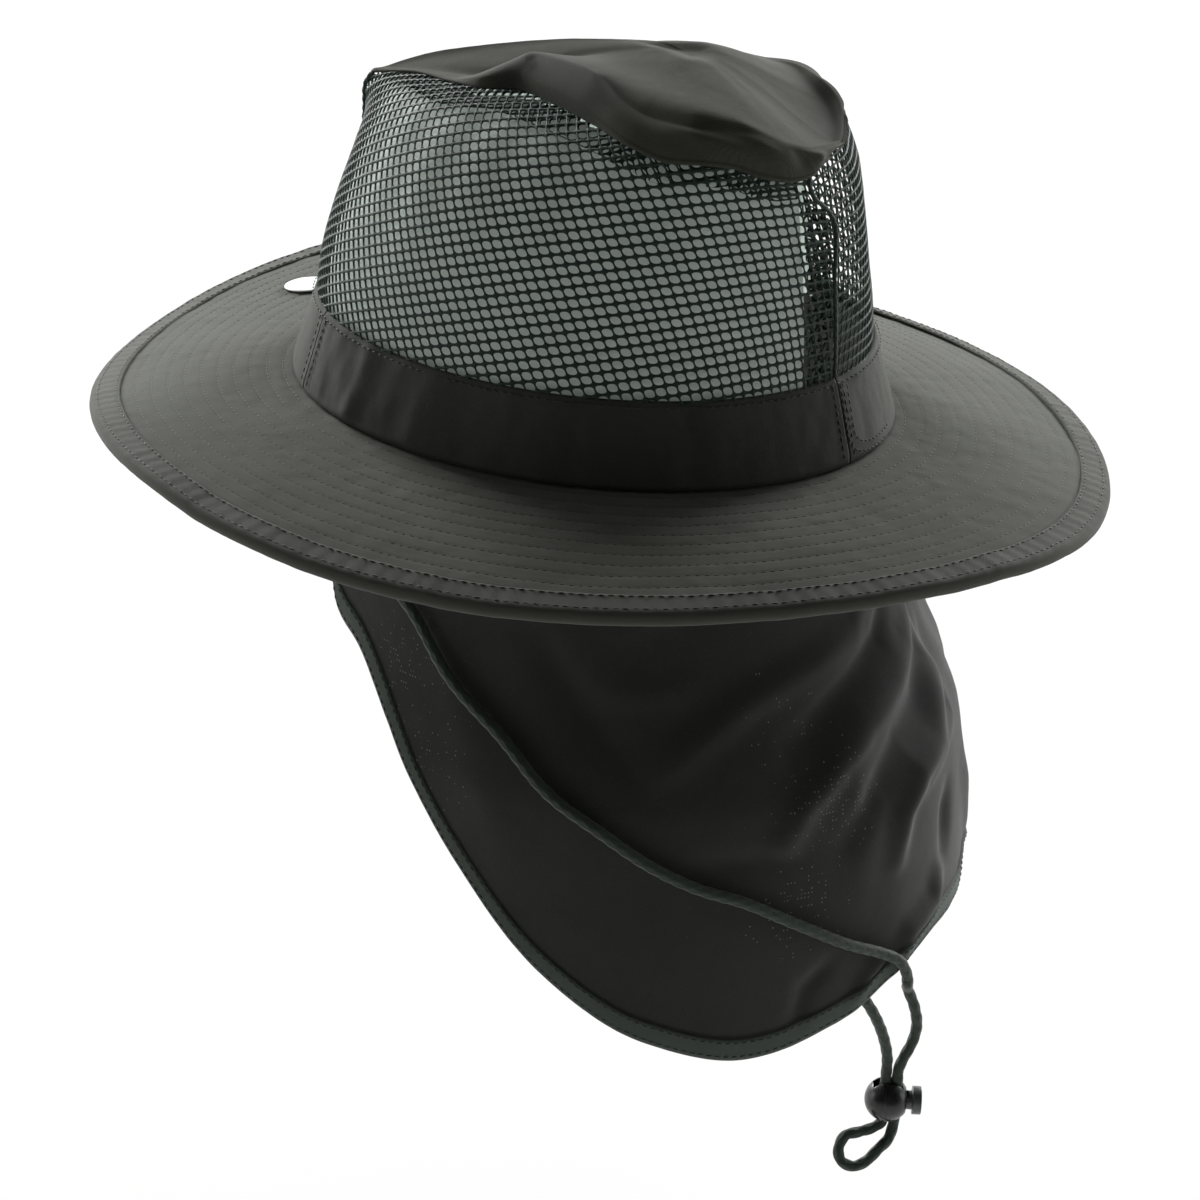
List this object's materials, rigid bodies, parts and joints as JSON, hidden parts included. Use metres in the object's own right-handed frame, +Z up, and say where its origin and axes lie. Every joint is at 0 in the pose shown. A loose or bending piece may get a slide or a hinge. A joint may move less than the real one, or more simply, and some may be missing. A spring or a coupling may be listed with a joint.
{
  "type": "sun hat with neck flap",
  "caption": "Wide-brim cloth sun hat with a net crown, a teardrop cloth top, a bound brim, a hanging neck flap and a chin cord with a ball lock.",
  "frame": {"origin": "centre of the head opening, in the seam plane between the crown band and the brim", "axes": "+Z up, -Y to the front of the hat, +X to the wearer's left"},
  "size_m": [0.3251, 0.3539, 0.3831],
  "materials": {
    "top_cloth": "cotton twill",
    "net": "knitted net",
    "lining": "plain weave",
    "band_cloth": "cotton twill",
    "sweatband_cloth": "soft tape",
    "brim_cloth": "cotton twill, stitched in rings",
    "interlining": "stiffener",
    "binding_cloth": "folded twill",
    "sticker": "matt",
    "flap_cloth": "cotton poplin",
    "hem_cloth": "folded poplin",
    "cord": "braided",
    "lock_plastic": "moulded",
    "button_plastic": "moulded",
    "spring_steel": "drawn wire"
  },
  "bodies": {
    "hat": {"crown_top_panel": "top_cloth", "mesh_panel_left": "net", "mesh_panel_right": "net", "crown_lining": "lining", "back_seam_strip": "net", "band_front": "band_cloth", "band_left": "band_cloth", "band_right": "band_cloth", "sweatband": "sweatband_cloth", "brim_top_cloth": "brim_cloth", "brim_interlining": "interlining", "brim_under_cloth": "brim_cloth", "brim_edge_binding": "binding_cloth", "size_sticker": "sticker", "cord_tab_left": "band_cloth", "cord_tab_right": "band_cloth"},
    "neck_flap": {"neck_flap": "flap_cloth", "flap_hem": "hem_cloth", "cord_left_run": "cord", "cord_right_run": "cord"},
    "cord_tail": {"cord_tail": "cord"},
    "cord_lock": {"lock_body": "lock_plastic", "lock_spring": "spring_steel"},
    "lock_button": {"lock_button": "button_plastic"}
  },
  "joints": [
    {"name": "flap_swing", "type": "hinge", "parent": "hat", "child": "neck_flap", "pos_m": [0, 0.1035, -0.0037], "axis": [1, 0, 0], "range_deg": [0, 40]},
    {"name": "cord_swing", "type": "hinge", "parent": "neck_flap", "child": "cord_tail", "pos_m": [0.0245, 0.1385, -0.177], "axis": [1, 0, 0], "range_deg": [-15, 15]},
    {"name": "lock_slide", "type": "slide", "parent": "cord_tail", "child": "cord_lock", "axis": [0, 0, 1], "range_m": [-0.001, 0.005]},
    {"name": "button_push", "type": "slide", "parent": "cord_lock", "child": "lock_button", "axis": [0.439, -0.8985, 0], "range_m": [0, 0.002], "deforming": ["lock_spring"]}
  ]
}
